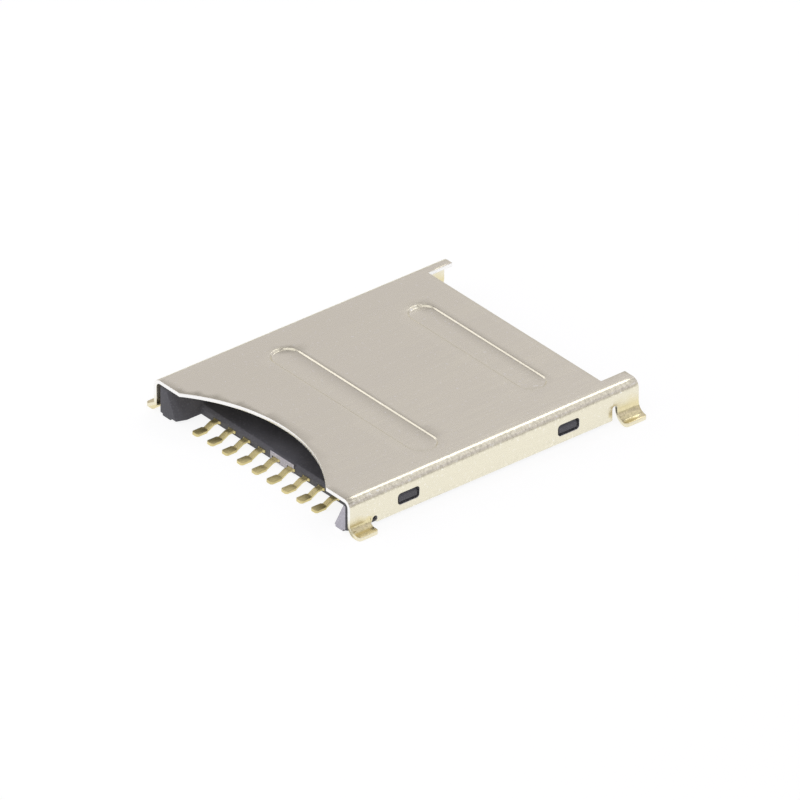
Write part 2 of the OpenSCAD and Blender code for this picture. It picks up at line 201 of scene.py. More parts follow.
def new_tree(name: str, kind: str, inputs: Iterable[tuple[str, str, Value]],
             outputs: Iterable[tuple[str, str]]) -> tuple[Desk, bpy.types.Node, bpy.types.Node]:
    """Starts a node tree that has named inputs and outputs.

    Args:
        name: Name of the tree.
        kind: Type name of the tree.
        inputs: Name, socket type and default value of each input.
        outputs: Name and socket type of each output.

    Returns:
        A desk for the tree, its input node and its output node.
    """
    tree = bpy.data.node_groups.new(name, kind)
    for title, socket, value in inputs:
        item = tree.interface.new_socket(title, in_out="INPUT", socket_type=socket)
        if value is not None:
            item.default_value = value
    for title, socket in outputs:
        tree.interface.new_socket(title, in_out="OUTPUT", socket_type=socket)
    desk = Desk(tree)
    return desk, desk.node("NodeGroupInput"), desk.node("NodeGroupOutput")


def grain_group(broad: float = 0.16, fine_share: float = 0.65,
                window: Point = (0.36, 0.64)) -> bpy.types.NodeTree:
    """Builds the drawn grain of worked metal.

    Args:
        broad: Lines of the broad layer for each line of the fine one.
        fine_share: Share of the fine layer.
        window: Range of the pattern that the mask spreads out.

    Returns:
        A shader group that gives a tint mask and a height.
    """
    desk, given, out = new_tree(
        "drawn grain", "ShaderNodeTree",
        [("Stretch", "NodeSocketVector", (1.0, 1.0, 1.0)), ("Lines per mm", "NodeSocketFloat", 12.0)],
        [("Mask", "NodeSocketFloat"), ("Height", "NodeSocketFloat")])
    place = desk.node("ShaderNodeTexCoord").outputs["Object"]
    drawn = desk.node("ShaderNodeVectorMath", {0: place, 1: given.outputs["Stretch"]},
                      operation="MULTIPLY").outputs[0]
    per_metre = desk.math("DIVIDE", given.outputs["Lines per mm"], MM)
    fine = desk.noise(drawn, per_metre, 3.0)
    wide = desk.noise(drawn, desk.math("MULTIPLY", per_metre, broad), 2.0)
    both = desk.math("ADD", desk.math("MULTIPLY", fine, fine_share),
                     desk.math("MULTIPLY", wide, 1.0 - fine_share))
    desk.feed(out.inputs["Mask"], desk.span(both, window, (0.0, 1.0)))
    desk.feed(out.inputs["Height"], both)
    return desk.tree


def speckle_group(broad: float = 0.045, edge: float = 0.1,
                  window: Point = (0.35, 0.65)) -> bpy.types.NodeTree:
    """Builds the fine sandy speckle of a plated or moulded skin.

    Args:
        broad: Clouds for each point of the speckle.
        edge: Rise of the pattern over which a bright point comes up.
        window: Range of the pattern that the clouds spread out.

    Returns:
        A shader group that gives bright points, a height and broad clouds.
    """
    desk, given, out = new_tree(
        "fine speckle", "ShaderNodeTree",
        [("Points per mm", "NodeSocketFloat", 9.0), ("Threshold", "NodeSocketFloat", 0.62)],
        [("Mask", "NodeSocketFloat"), ("Height", "NodeSocketFloat"), ("Cloud", "NodeSocketFloat")])
    place = desk.node("ShaderNodeTexCoord").outputs["Object"]
    per_metre = desk.math("DIVIDE", given.outputs["Points per mm"], MM)
    fine = desk.noise(place, per_metre, 2.0, 0.6)
    cloud = desk.noise(place, desk.math("MULTIPLY", per_metre, broad), 3.0)
    limit = desk.math("ADD", given.outputs["Threshold"], edge)
    points = desk.node("ShaderNodeMapRange", {
        0: fine, 1: given.outputs["Threshold"], 2: limit, 3: 0.0, 4: 1.0})
    desk.feed(out.inputs["Mask"], points.outputs[0])
    desk.feed(out.inputs["Height"], fine)
    desk.feed(out.inputs["Cloud"], desk.span(cloud, window, (0.0, 1.0)))
    return desk.tree


@dataclass(frozen=True)
class Effects:
    """Shader groups that the finishes share."""

    grain: bpy.types.NodeTree = field(default_factory=grain_group)
    speckle: bpy.types.NodeTree = field(default_factory=speckle_group)


class Skin(Desk):
    """Desk of one material, with the effects that the finishes share."""

    def __init__(self, name: str, effects: Effects) -> None:
        """Starts a material with one plain shader.

        Args:
            name: Name of the material.
            effects: Shared shader groups.
        """
        self.material = bpy.data.materials.new(name)
        self.material.use_nodes = True
        super().__init__(self.material.node_tree)
        self.effects = effects

    def grain(self, direction: Grain, lines_per_mm: float) -> bpy.types.bpy_prop_collection:
        """Adds the drawn grain and returns its outputs."""
        return self.node("ShaderNodeGroup", {
            "Stretch": direction.value, "Lines per mm": lines_per_mm}, node_tree=self.effects.grain).outputs

    def speckle(self, points_per_mm: float,
                threshold: float | None = None) -> bpy.types.bpy_prop_collection:
        """Adds the fine speckle and returns its outputs."""
        return self.node("ShaderNodeGroup", {
            "Points per mm": points_per_mm, "Threshold": threshold}, node_tree=self.effects.speckle).outputs

    def share(self, name: str) -> bpy.types.NodeSocket:
        """Reads an attribute of the piece."""
        return self.node("ShaderNodeAttribute", attribute_name=name).outputs["Fac"]

    def surface(self, colour: Value, roughness: Value, height: Value, relief: float,
                metallic: float = 1.0) -> bpy.types.Material:
        """Dresses the shader.

        Args:
            colour: Base colour.
            roughness: Roughness.
            height: Height of the relief, from 0 to 1.
            relief: Depth of the relief in millimetres.
            metallic: 1 for metal, 0 for the rest.

        Returns:
            The finished material.
        """
        bump = self.node("ShaderNodeBump", {"Height": height, "Distance": relief * MM, "Strength": 1.0})
        inputs = self.tree.nodes["Principled BSDF"].inputs
        for name, value in (("Base Color", colour), ("Roughness", roughness),
                            ("Metallic", metallic), ("Normal", bump.outputs[0])):
            self.feed(inputs[name], value)
        return self.material


@dataclass(frozen=True)
class PlatedSheet:
    """Satin nickel plate on the cover, with a gold flash on its solder feet."""

    colour: Colour = (0.865, 0.82, 0.66)
    light: Colour = (0.97, 0.94, 0.86)
    gold: Colour = (0.82, 0.73, 0.45)
    points: float = 0.8
    shade: Point = (0.985, 1.015)
    drawn: float = 0.1
    mottle: float = 1.1
    roughness: Point = (0.22, 0.30)
    unevenness: Point = (-0.02, 0.02)
    grain_per_mm: float = 9.0
    points_per_mm: float = 7.0
    relief: float = 0.002

    def fold_factor(self, skin: Skin, height: bpy.types.NodeSocket) -> bpy.types.NodeSocket:
        """Adds the mottling that the folds get where the plate is stretched.

        Args:
            skin: Desk of the material.
            height: Height of the fine speckle.

        Returns:
            Factor on the colour, 1 on flat faces.
        """
        normal = skin.node("ShaderNodeTexCoord").outputs["Normal"]
        turn = skin.node("ShaderNodeSeparateXYZ", {0: normal}).outputs
        folded = skin.math("ABSOLUTE", skin.math("MULTIPLY", turn["X"], turn["Z"]))
        uneven = skin.math("MULTIPLY", skin.math("SUBTRACT", height, 0.5), folded)
        return skin.math("ADD", 1.0, skin.math("MULTIPLY", uneven, 2.0 * self.mottle))

    def material(self, effects: Effects) -> bpy.types.Material:
        """Builds the material, which reads the piece's own flash attribute.

        Args:
            effects: Shared shader groups.

        Returns:
            The material.
        """
        skin = Skin("plated_sheet", effects)
        grain = skin.grain(Grain.ALONG, self.grain_per_mm)
        speckle = skin.speckle(self.points_per_mm)
        points = skin.math("MULTIPLY", speckle["Mask"], self.points)
        plain = skin.mix(points, rgba(self.colour), rgba(self.light))
        worked = skin.scale(plain, skin.span(grain["Mask"], (0.0, 1.0), self.shade))
        flashed = skin.mix(skin.share("flash"), worked, rgba(self.gold))
        rough = skin.math("ADD", skin.span(grain["Mask"], (0.0, 1.0), self.roughness),
                          skin.span(speckle["Cloud"], (0.0, 1.0), self.unevenness))
        height = skin.math("ADD", skin.math("MULTIPLY", grain["Height"], self.drawn), speckle["Height"])
        colour = skin.scale(flashed, self.fold_factor(skin, speckle["Height"]))
        return skin.surface(colour, rough, height, self.relief)


@dataclass(frozen=True)
class ShearedEdge:
    """Bright sheared edge of the sheet, with the fine upright lines of the cut."""

    dark: Colour = (0.97, 0.96, 0.94)
    light: Colour = (1.0, 1.0, 0.99)
    gold: Colour = (0.88, 0.82, 0.62)
    roughness: Point = (0.22, 0.38)
    lines_per_mm: float = 16.0
    relief: float = 0.002

    def material(self, effects: Effects) -> bpy.types.Material:
        """Builds the material, which reads the piece's own flash attribute.

        Args:
            effects: Shared shader groups.

        Returns:
            The material.
        """
        skin = Skin("sheared_edge", effects)
        grain = skin.grain(Grain.UPRIGHT, self.lines_per_mm)
        bright = skin.mix(grain["Mask"], rgba(self.dark), rgba(self.light))
        colour = skin.mix(skin.share("flash"), bright, rgba(self.gold))
        rough = skin.span(grain["Mask"], (0.0, 1.0), self.roughness)
        return skin.surface(colour, rough, grain["Height"], self.relief)


@dataclass(frozen=True)
class GoldStrip:
    """Gold flash on the stamped contact strips, duller where the plate is thin."""

    bright: Colour = (0.82, 0.72, 0.38)
    dull: Colour = (0.62, 0.55, 0.27)
    thin: float = 0.6
    roughness: Point = (0.45, 0.58)
    lines_per_mm: float = 14.0
    points_per_mm: float = 10.0
    relief: float = 0.0006

    def material(self, effects: Effects) -> bpy.types.Material:
        """Builds the material.

        Args:
            effects: Shared shader groups.

        Returns:
            The material.
        """
        skin = Skin("gold_strip", effects)
        grain = skin.grain(Grain.ALONG, self.lines_per_mm)
        cloud = skin.speckle(self.points_per_mm)["Cloud"]
        colour = skin.mix(skin.math("MULTIPLY", cloud, self.thin), rgba(self.bright), rgba(self.dull))
        rough = skin.span(grain["Mask"], (0.0, 1.0), self.roughness)
        return skin.surface(colour, rough, grain["Height"], self.relief)


@dataclass(frozen=True)
class MouldedResin:
    """Dark heat-proof resin with a fine spark-eroded skin, with painted light: its front faces are painted
    paler as if lit from the front.
    """

    colour: Colour = (0.085, 0.085, 0.095)
    light: Colour = (0.15, 0.15, 0.165)
    # Pale colours painted on the front faces as light falling from the front, not a finish of their own.
    painted_front_light: Colour = (0.58, 0.57, 0.62)
    painted_front_light_speck: Colour = (0.754, 0.741, 0.806)
    clouds: float = 0.5
    points: float = 0.6
    roughness: Point = (0.55, 0.7)
    points_per_mm: float = 11.0
    threshold: float = 0.55
    relief: float = 0.006

    def material(self, effects: Effects) -> bpy.types.Material:
        """Builds the material, which reads the piece's own attribute that marks the faces with painted
        front light.

        Args:
            effects: Shared shader groups.

        Returns:
            The material.
        """
        skin = Skin("moulded_resin", effects)
        speckle = skin.speckle(self.points_per_mm, self.threshold)
        cloud = skin.mix(skin.math("MULTIPLY", speckle["Cloud"], self.clouds),
                         rgba(self.colour), rgba(self.light))
        dark = skin.mix(skin.math("MULTIPLY", speckle["Mask"], self.points), cloud, rgba(self.light))
        # Painted light: the marked front faces get a pale colour that stands in for light falling from the
        # front.
        painted_front_colour = skin.mix(speckle["Mask"], rgba(self.painted_front_light), rgba(self.painted_front_light_speck))
        colour = skin.mix(skin.share("painted_front_light"), dark, painted_front_colour)
        rough = skin.span(speckle["Cloud"], (0.0, 1.0), self.roughness)
        return skin.surface(colour, rough, speckle["Height"], self.relief, metallic=0.0)


def make_piece(name: str, points: Iterable[Sequence[float]],
               faces: Sequence[Sequence[int]]) -> bpy.types.Object:
    """Makes a mesh object at the origin.

    Args:
        name: Name of the piece.
        points: Corners in millimetres.
        faces: Corner numbers of each face, seen from outside in turn.

    Returns:
        The new object, with smooth faces.
    """
    mesh = bpy.data.meshes.new(name)
    mesh.from_pydata([[part * MM for part in point] for point in points], [], faces)
    mesh.polygons.foreach_set("use_smooth", [True] * len(mesh.polygons))
    piece = bpy.data.objects.new(name, mesh)
    bpy.context.scene.collection.objects.link(piece)
    return piece


def settle(piece: bpy.types.Object) -> bpy.types.Object:
    """Turns a piece with its modifiers into a plain mesh.

    Args:
        piece: The piece.

    Returns:
        The same piece, with no modifier left.
    """
    view = bpy.context.evaluated_depsgraph_get()
    view.update()
    mesh = bpy.data.meshes.new_from_object(piece.evaluated_get(view), preserve_all_data_layers=True,
                                           depsgraph=view)
    mesh.name = piece.name
    piece.modifiers.clear()
    piece.data = mesh
    return piece


def run_tree(piece: bpy.types.Object, tree: bpy.types.NodeTree, values: dict[str, Value]) -> None:
    """Runs a geometry tree on a piece and settles the result.

    Args:
        piece: The piece that carries the tree.
        tree: The geometry tree.
        values: Value of each named input.
    """
    modifier = piece.modifiers.new(tree.name, "NODES")
    modifier.node_group = tree
    for item in tree.interface.items_tree:
        if item.item_type == "SOCKET" and item.in_out == "INPUT" and item.name in values:
            modifier[item.identifier] = values[item.name]
    settle(piece)


def soften(piece: bpy.types.Object, width: float, angle: float = 35.0, segments: int = 2) -> None:
    """Rounds a piece's sharp edges and evens its shading.

    Args:
        piece: The piece.
        width: Width of the rounding in millimetres.
        angle: Smallest turn between faces, in degrees, that counts as an edge.
        segments: Faces across the rounding.
    """
    bevel = piece.modifiers.new("soft edges", "BEVEL")
    bevel.width = width * MM
    bevel.segments = segments
    bevel.limit_method = "ANGLE"
    bevel.angle_limit = math.radians(angle)
    bevel.use_clamp_overlap = False
    even = piece.modifiers.new("even shading", "WEIGHTED_NORMAL")
    even.keep_sharp = False
    even.weight = 100
    settle(piece)


def finish_piece(piece: bpy.types.Object, nodes: Sequence[str]) -> None:
    """Seats a finished piece in the frame and logs it.

    Args:
        piece: The finished piece.
        nodes: CAD nodes that it stands for.
    """
    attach(piece, BODY)
    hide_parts(*nodes)
    mesh = piece.data
    triangles = sum(len(face.vertices) - 2 for face in mesh.polygons)
    log.info("%s: %d triangles, stands for %s", piece.name, triangles, ", ".join(nodes))


def arc(centre: Point, radius: float, start: float, end: float, steps: int) -> list[Point]:
    """Points along an arc, both ends included.

    Args:
        centre: Centre of the arc.
        radius: Its radius.
        start: Angle of the first point in degrees.
        end: Angle of the last point in degrees.
        steps: Number of chords.

    Returns:
        The points in turn.
    """
    angles = [math.radians(start + (end - start) * step / steps) for step in range(steps + 1)]
    return [(centre[0] + radius * math.cos(a), centre[1] + radius * math.sin(a)) for a in angles]


def divide(points: Sequence[Point], spacing: float, closed: bool = True) -> list[Point]:
    """Divides a line's long stretches so that no two points lie further apart than spacing.

    Args:
        points: Corners of the line.
        spacing: Largest distance between points.
        closed: True if the line runs back to its start.

    Returns:
        The divided line.
    """
    ends = [*points[1:], points[0]] if closed else list(points[1:])
    line: list[Point] = []
    for first, second in zip(points, ends):
        count = max(1, math.ceil(math.dist(first, second) / spacing))
        line += [(first[0] + (second[0] - first[0]) * k / count,
                  first[1] + (second[1] - first[1]) * k / count) for k in range(count)]
    if not closed:
        line.append(points[-1])
    return line


def inside(points: np.ndarray, loops: Iterable[Sequence[Point]]) -> np.ndarray:
    """Tells which points lie inside an outline and outside the holes in it.

    Args:
        points: Points, one a row.
        loops: The outline and its holes, as closed lines.

    Returns:
        True for each point that lies inside.
    """
    within = np.zeros(len(points), bool)
    x, y = points[:, 0], points[:, 1]
    for loop in loops:
        for (x0, y0), (x1, y1) in zip(loop, [*loop[1:], loop[0]]):
            if y0 == y1:
                continue
            crosses = (y0 > y) != (y1 > y)
            within ^= crosses & (x < x0 + (y - y0) * (x1 - x0) / (y1 - y0))
    return within


@dataclass(frozen=True)
class Bead:
    """One racetrack bead that is pressed down into the cover's top."""

    length: float
    width: float
    place: float
    middle: float = 0.18
    steps: int = 20

    def ring(self, inset: float, spacing: float) -> list[Point]:
        """Closed line that follows the bead.

        Args:
            inset: Distance of the line inside the bead's outer edge.
            spacing: Largest distance between points.

        Returns:
            Points of the line, across and along the cover.
        """
        half = (self.length - self.width) / 2
        radius = self.width / 2 - inset
        ends = arc((self.middle + half, self.place), radius, -90.0, 90.0, self.steps)
        ends += arc((self.middle - half, self.place), radius, 90.0, 270.0, self.steps)
        return divide(ends, spacing)


@dataclass(frozen=True)
class Foot:
    """One solder foot: where it stands along the wall and how its curl is formed."""

    start: float
    end: float
    curl: float

    def fold_level(self, sheet: float) -> float:
        """Height of the line below which the foot curls out of the wall."""
        return sheet + self.curl


@dataclass
class Cover:
    """Stamped cover: a flat blank with pressed beads, folded by rule into roof, walls and feet."""

    width: float = 14.53
    length: float = 17.4
    height: float = 1.85
    sheet: float = 0.2
    bend: float = 0.45
    wall_foot: float = 0.2
    plate_length: float = 15.95
    left_rail: float = 0.8
    right_rail: float = 1.03
    cut_width: float = 10.85
    cut_depth: float = 1.9
    cut_shift: float = 0.07
    bead_depth: float = 0.09
    bead_slope: float = 0.135
    bead_rings: int = 6
    front_bead: Bead = Bead(11.55, 1.66, 5.99)
    rear_bead: Bead = Bead(9.49, 1.56, 13.43)
    windows: tuple[float, float] = (3.52, 13.15)
    window_size: Point = (1.29, 0.6)
    window_sill: float = 0.58
    window_corner: float = 0.18
    foot_corner: float = 0.18
    reach: float = 0.65
    front_foot: Foot = Foot(0.02, 1.22, 0.3)
    rear_foot: Foot = Foot(16.1, 17.4, 0.5)
    front_gap: float = 0.4
    slit: float = 0.06
    slit_share: float = 1 / 3
    relief: float = 0.15
    relief_place: Point = (1.5, 0.41)
    rear_gap: float = 0.3
    rear_gap_top: float = 0.95
    grid: float = 0.5
    grid_clear: float = 0.45
    fold_steps: int = 8
    corner_steps: int = 8
    gap_steps: int = 12
    hole_steps: int = 18
    mouth_steps: int = 90
    front_flash: float = 0.3
    rear_flash: float = 0.45
    edge_round: float = 0.022

    @property
    def mouth(self) -> float:
        """Y of the mouth."""
        return -self.length / 2

    @property
    def flat_half(self) -> float:
        """Half width of the flat part of the roof."""
        return self.width / 2 - self.bend

    @property
    def fold_radius(self) -> float:
        """Radius of the folds at the middle of the sheet."""
        return self.bend - self.sheet / 2

    @property
    def wall_base(self) -> float:
        """Developed distance from the middle at which the wall would meet the board."""
        return self.flat_half + self.fold_radius * QUARTER + self.height - self.bend

    def wall_point(self, place: float, level: float) -> Point:
        """Point of the blank that comes to lie on the wall.

        Args:
            place: Distance from the mouth.
            level: Height above the board.

        Returns:
            Developed distance from the middle, and distance from the mouth.
        """
        return self.wall_base - level, place

    def curl_radius(self, foot: Foot) -> float:
        """Radius of a foot's curl at the middle of the sheet."""
        return foot.curl + self.sheet / 2

    def foot_tip(self, foot: Foot) -> float:
        """Developed distance from the middle to a foot's tip."""
        curl_start = self.wall_base - foot.fold_level(self.sheet)
        return curl_start + self.curl_radius(foot) * QUARTER + self.reach - foot.curl

    def foot_outline(self, foot: Foot) -> list[Point]:
        """Outline of a foot's tip with its rounded corners.

        Args:
            foot: The foot.

        Returns:
            Points of the outline, from the foot's front side to its rear side.
        """
        corner = self.foot_corner
        inner = self.foot_tip(foot) - corner
        steps = self.corner_steps
        return (arc((inner, foot.start + corner), corner, -90.0, 0.0, steps)
                + arc((inner, foot.end - corner), corner, 0.0, 90.0, steps))

    def side_outline(self) -> list[Point]:
        """Lower edge of the right wall with its feet, gaps and relief hole.

        Returns:
            Points of the edge, from the mouth back.
        """
        front, rear = self.front_foot, self.rear_foot
        fold = front.fold_level(self.sheet)
        slit = front.end + self.slit
        hole_y, hole_z = self.relief_place
        gap_start = rear.start - self.rear_gap
        gap_r = self.rear_gap / 2
        relief = [self.wall_point(y, z) for y, z in
                  arc((hole_y, hole_z), self.relief, 180.0, -90.0, self.hole_steps)]
        gap_middle = (gap_start + gap_r, self.rear_gap_top - gap_r)
        gap = [self.wall_point(y, z) for y, z in arc(gap_middle, gap_r, 180.0, 0.0, self.gap_steps)]
        return [
            self.wall_point(0.0, fold),
            *self.foot_outline(front),
            self.wall_point(front.end, fold),
            self.wall_point(slit, hole_z - self.relief),
            *relief,
            self.wall_point(front.end + self.front_gap, self.wall_foot),
            self.wall_point(gap_start, self.wall_foot),
            *gap,
            self.wall_point(rear.start, rear.fold_level(self.sheet)),
            *self.foot_outline(rear),
        ]

    def outline(self) -> list[Point]:
        """Outline of the blank.

        Returns:
            Points of the outline, in turn from the left end of the finger cut-out.
        """
        radius = ((self.cut_width / 2) ** 2 + self.cut_depth ** 2) / (2 * self.cut_depth)
        spread = math.degrees(math.asin(self.cut_width / 2 / radius))
        middle = (self.cut_shift, self.cut_depth - radius)
        mouth_cut = arc(middle, radius, 90 + spread, 90 - spread, self.mouth_steps)
        right = self.side_outline()
        left = [(-across, along) for across, along in reversed(right)]
        right_rail = self.width / 2 - self.right_rail
        left_rail = -self.width / 2 + self.left_rail
        rear = [(right_rail, self.length), (right_rail, self.plate_length),
                (left_rail, self.plate_length), (left_rail, self.length)]
        return [*mouth_cut, *right, *rear, *left]

    def window(self, place: float, side: int) -> list[Point]:
        """Outline of one latch window on the blank.

        Args:
            place: Distance from the mouth to the window's middle.
            side: 1 for the right wall, -1 for the left.

        Returns:
            Points of the window in turn.
        """
        across, along = self.wall_point(place, self.window_sill + self.window_size[1] / 2)
        half_along = self.window_size[0] / 2 - self.window_corner
        half_across = self.window_size[1] / 2 - self.window_corner
        loop: list[Point] = []
        for start, (dx, dy) in zip((0, 90, 180, 270), ((1, 1), (-1, 1), (-1, -1), (1, -1))):
            centre = (side * across + dx * half_across, along + dy * half_along)
            loop += arc(centre, self.window_corner, start, start + 90, self.corner_steps)
        return loop

    def fold_lines(self) -> list[list[Point]]:
        """Lines of the blank that the folds and curls need points on.

        Returns:
            Both ends of each line.
        """
        lines = []
        for side in (-1, 1):
            for step in range(self.fold_steps + 1):
                turn = QUARTER * step / self.fold_steps
                across = side * (self.flat_half + self.fold_radius * turn)
                lines.append([(across, 0.0), (across, self.length)])
                for foot in (self.front_foot, self.rear_foot):
                    start = self.wall_base - foot.fold_level(self.sheet)
                    across = side * (start + self.curl_radius(foot) * turn)
                    lines.append([(across, foot.start), (across, foot.end)])
        return lines

    def plan(self) -> tuple[list[Vector], list[tuple[int, ...]]]:
        """Divides the blank into triangles.

        Returns:
            Points of the blank and its triangles.
        """
        loops = [divide(self.outline(), self.grid)]
        loops += [self.window(place, side) for place in self.windows for side in (-1, 1)]
        insets = [self.bead_slope * step / self.bead_rings for step in range(self.bead_rings + 1)]
        beads = (self.front_bead, self.rear_bead)
        rings = [bead.ring(inset, self.grid) for bead in beads for inset in insets]
        lines = [divide(line, self.grid, closed=False) for line in self.fold_lines()]
        points: list[Point] = []
        edges: list[tuple[int, int]] = []
        closed_lines = [(line, True) for line in [*loops, *rings]]
        for line, closed in [*closed_lines, *((line, False) for line in lines)]:
            first = len(points)
            points += line
            edges += [(first + k, first + k + 1) for k in range(len(line) - 1)]
            if closed:
                edges.append((first + len(line) - 1, first))
        near = KDTree(len(points))
        for number, point in enumerate(points):
            near.insert((*point, 0.0), number)
        near.balance()
        columns, rows = int(self.foot_tip(self.front_foot) / self.grid), int(self.length / self.grid)
        for row in range(rows + 1):
            for column in range(-columns, columns + 1):
                spot = ((column + 0.5 * (row % 2)) * self.grid, row * self.grid)
                if near.find((*spot, 0.0))[2] > self.grid_clear * self.grid:
                    points.append(spot)
        made = delaunay_2d_cdt([Vector(point) for point in points], edges, [], 0, 1e-6)
        flat = np.array([tuple(point) for point in made[0]])
        triangles = np.array([tuple(face) for face in made[2]])
        kept = inside(flat[triangles].mean(axis=1), loops)
        return made[0], [tuple(face) for face in triangles[kept].tolist()]

    def blank(self) -> bpy.types.Object:
        """Makes the flat blank as a closed sheet, with the attributes that its folding reads.

        Returns:
            The flat blank.
        """
        plan, faces = self.plan()
        used = sorted({corner for face in faces for corner in face})
        number = {old: new for new, old in enumerate(used)}
        count = len(used)
        half = self.sheet / 2
        flat = [plan[old] for old in used]
        points = [(p.x, p.y + self.mouth, level) for level in (half, -half) for p in flat]
        top = [tuple(number[corner] for corner in face) for face in faces]
        under = [tuple(corner + count for corner in reversed(face)) for face in top]
        seen = {(a, b) for face in top for a, b in zip(face, face[1:] + face[:1])}
        rim = [(b, a, a + count, b + count) for a, b in seen if (b, a) not in seen]
        piece = make_piece("folded_cover", points, [*top, *under, *rim])
        mesh = piece.data
        sheared = mesh.attributes.new("sheared", "BOOLEAN", "FACE")
        sheared.data.foreach_set("value", [False] * (2 * len(top)) + [True] * len(rim))
        values = [self.form(p.x, p.y) for p in flat] * 2
        for index, name in enumerate(("curl_start", "curl_radius", "flash")):
            layer = mesh.attributes.new(name, "FLOAT", "POINT")
            layer.data.foreach_set("value", [value[index] for value in values])
        return piece

    def form(self, across: float, along: float) -> tuple[float, float, float]:
        """How a point of the blank is formed and plated.

        Args:
            across: Developed distance from the middle.
            along: Distance from the mouth.

        Returns:
            Where its curl starts and the curl's radius, in metres, and its share of gold flash.
        """
        slack = self.slit * self.slit_share
        gold, start, radius = 0.0, 1.0, 0.0
        for foot, rise in ((self.front_foot, self.front_flash), (self.rear_foot, self.rear_flash)):
            fold = self.wall_base - foot.fold_level(self.sheet)
            beside = max(foot.start - along, along - foot.end, 0.0)
            if abs(across) > fold - rise and beside < rise:
                share = min(1.0, (abs(across) - fold + rise) / rise) * (1 - beside / rise)
                gold = max(gold, share * share * (3 - 2 * share))
            if foot.start - 2 * slack <= along <= foot.end + slack:
                start, radius = fold * MM, self.curl_radius(foot) * MM
        return start, radius, gold

    def fold_tree(self) -> bpy.types.NodeTree:
        """Builds the geometry tree that presses the beads and folds the blank.

        Returns:
            The tree.
        """
        names = ("Flat half", "Fold radius", "Top level", "Bead depth", "Bead slope",
                 *(f"{which} {size}" for which in ("Front", "Rear")
                   for size in ("length", "width", "place", "middle")))
        desk, given, out = new_tree(
            "press and fold", "GeometryNodeTree",
            [("Blank", "NodeSocketGeometry", None)]
            + [(name, "NodeSocketFloat", 0.0) for name in names]
            + [("Sheet finish", "NodeSocketMaterial", None), ("Edge finish", "NodeSocketMaterial", None)],
            [("Cover", "NodeSocketGeometry")])
        put = given.outputs
        place = desk.node("ShaderNodeSeparateXYZ", {0: desk.node("GeometryNodeInputPosition").outputs[0]})
        across, along, level = place.outputs
        far = desk.math("ABSOLUTE", across)
        start, curl = (desk.node("GeometryNodeInputNamedAttribute", {"Name": name},
                                 data_type="FLOAT").outputs[0] for name in ("curl_start", "curl_radius"))
        radius = desk.math("ADD", put["Fold radius"], level)
        past = desk.math("MAXIMUM", desk.math("SUBTRACT", far, put["Flat half"]), 0.0)
        turn = desk.math("MINIMUM", desk.math("DIVIDE", past, put["Fold radius"]), QUARTER)
        bend = desk.math("MULTIPLY", put["Fold radius"], QUARTER)
        wall_start = desk.math("ADD", put["Flat half"], bend)
        on_wall = desk.math("SUBTRACT", desk.math("MINIMUM", far, start), wall_start)
        drop = desk.math("MAXIMUM", on_wall, 0.0)
        out_curl = desk.math("MAXIMUM", desk.math("SUBTRACT", far, start), 0.0)
        roll = desk.math("MINIMUM", desk.math("DIVIDE", out_curl, curl), QUARTER)
        on_sole = desk.math("SUBTRACT", out_curl, desk.math("MULTIPLY", curl, QUARTER))
        sole = desk.math("MAXIMUM", on_sole, 0.0)
        inner = desk.math("SUBTRACT", curl, level)
        reach = desk.math("ADD", desk.math("MINIMUM", far, put["Flat half"]),
                          desk.math("MULTIPLY", radius, desk.math("SINE", turn)))
        rolled = desk.math("MULTIPLY", inner, desk.math("SUBTRACT", 1.0, desk.math("COSINE", roll)))
        x = desk.math("MULTIPLY", desk.math("SIGN", across),
                      desk.math("ADD", desk.math("ADD", reach, rolled), sole))
        pressed = desk.math("ADD", self.bead_press(desk, put, "Front", across, along),
                            self.bead_press(desk, put, "Rear", across, along))
        crown = desk.math("SUBTRACT", put["Top level"], put["Fold radius"])
        z = desk.math("ADD", crown, desk.math("MULTIPLY", radius, desk.math("COSINE", turn)))
        for lower in (drop, desk.math("MULTIPLY", inner, desk.math("SINE", roll)), pressed):
            z = desk.math("SUBTRACT", z, lower)
        folded = desk.node("GeometryNodeSetPosition", {
            "Geometry": put["Blank"],
            "Position": desk.node("ShaderNodeCombineXYZ", {0: x, 1: along, 2: z}).outputs[0]})
        real = desk.node("GeometryNodeRealizeInstances", {0: folded.outputs[0]})
        plated = desk.node("GeometryNodeSetMaterial", {
            "Geometry": real.outputs[0], "Material": put["Sheet finish"]})
        sheared = desk.node("GeometryNodeInputNamedAttribute", {"Name": "sheared"}, data_type="BOOLEAN")
        edged = desk.node("GeometryNodeSetMaterial", {
            "Geometry": plated.outputs[0], "Selection": sheared.outputs[0], "Material": put["Edge finish"]})
        desk.feed(out.inputs[0], edged.outputs[0])
        return desk.tree

    @staticmethod
    def bead_press(desk: Desk, put: bpy.types.bpy_prop_collection, which: str,
                   across: bpy.types.NodeSocket, along: bpy.types.NodeSocket) -> bpy.types.NodeSocket:
        """Adds the nodes that press one bead.

        Args:
            desk: Desk of the folding tree.
            put: Outputs of the tree's input node.
            which: Front or Rear.
            across: X of the point.
            along: Y of the point.

        Returns:
            Depth to which the point is pressed.
        """
        straight = desk.math("SUBTRACT", put[f"{which} length"], put[f"{which} width"])
        half = desk.math("MULTIPLY", straight, 0.5)
        far = desk.math("ABSOLUTE", desk.math("SUBTRACT", across, put[f"{which} middle"]))
        side = desk.math("MAXIMUM", desk.math("SUBTRACT", far, half), 0.0)
        ahead = desk.math("SUBTRACT", along, put[f"{which} place"])
        away = desk.math("SQRT", desk.math("ADD", desk.math("MULTIPLY", side, side),
                                           desk.math("MULTIPLY", ahead, ahead)))
        within = desk.math("SUBTRACT", desk.math("MULTIPLY", put[f"{which} width"], 0.5), away)
        made = desk.node("ShaderNodeMapRange", interpolation_type="SMOOTHSTEP")
        for socket, value in zip(made.inputs, (within, 0.0, put["Bead slope"], 0.0, put["Bead depth"])):
            desk.feed(socket, value)
        return made.outputs[0]

